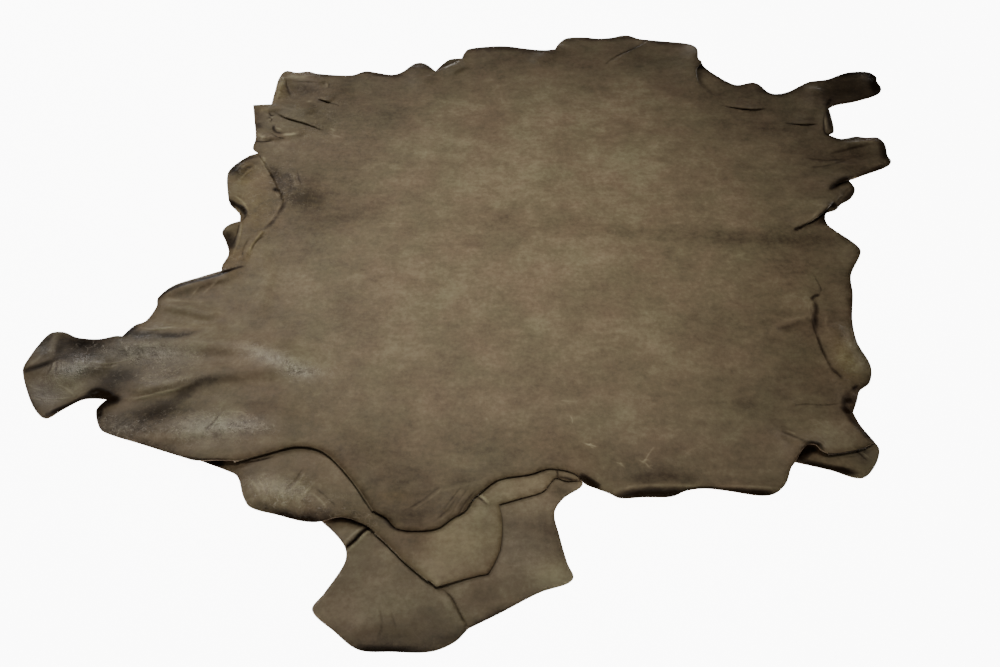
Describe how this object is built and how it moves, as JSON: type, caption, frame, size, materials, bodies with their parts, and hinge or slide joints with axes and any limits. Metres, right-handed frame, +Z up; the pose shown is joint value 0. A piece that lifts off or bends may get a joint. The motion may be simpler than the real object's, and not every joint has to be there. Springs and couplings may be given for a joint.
{
  "type": "leather hide",
  "caption": "Whole soft tanned skin lying open on the floor, with leg and neck flaps and its front edge pleated under itself",
  "frame": {"origin": "centre of the bounding box, at its base: the floor that the skin lies on", "axes": "+Z up; +X along the line of the back, toward the two narrow strips at the picture's right; +Y away from the camera, across the back"},
  "size_m": [1.7164, 1.5742, 0.0247],
  "materials": {
    "leather": "semi-matt waxy olive brown grain with soft sheen"
  },
  "bodies": {
    "root": {"hide": "leather"}
  },
  "joints": []
}
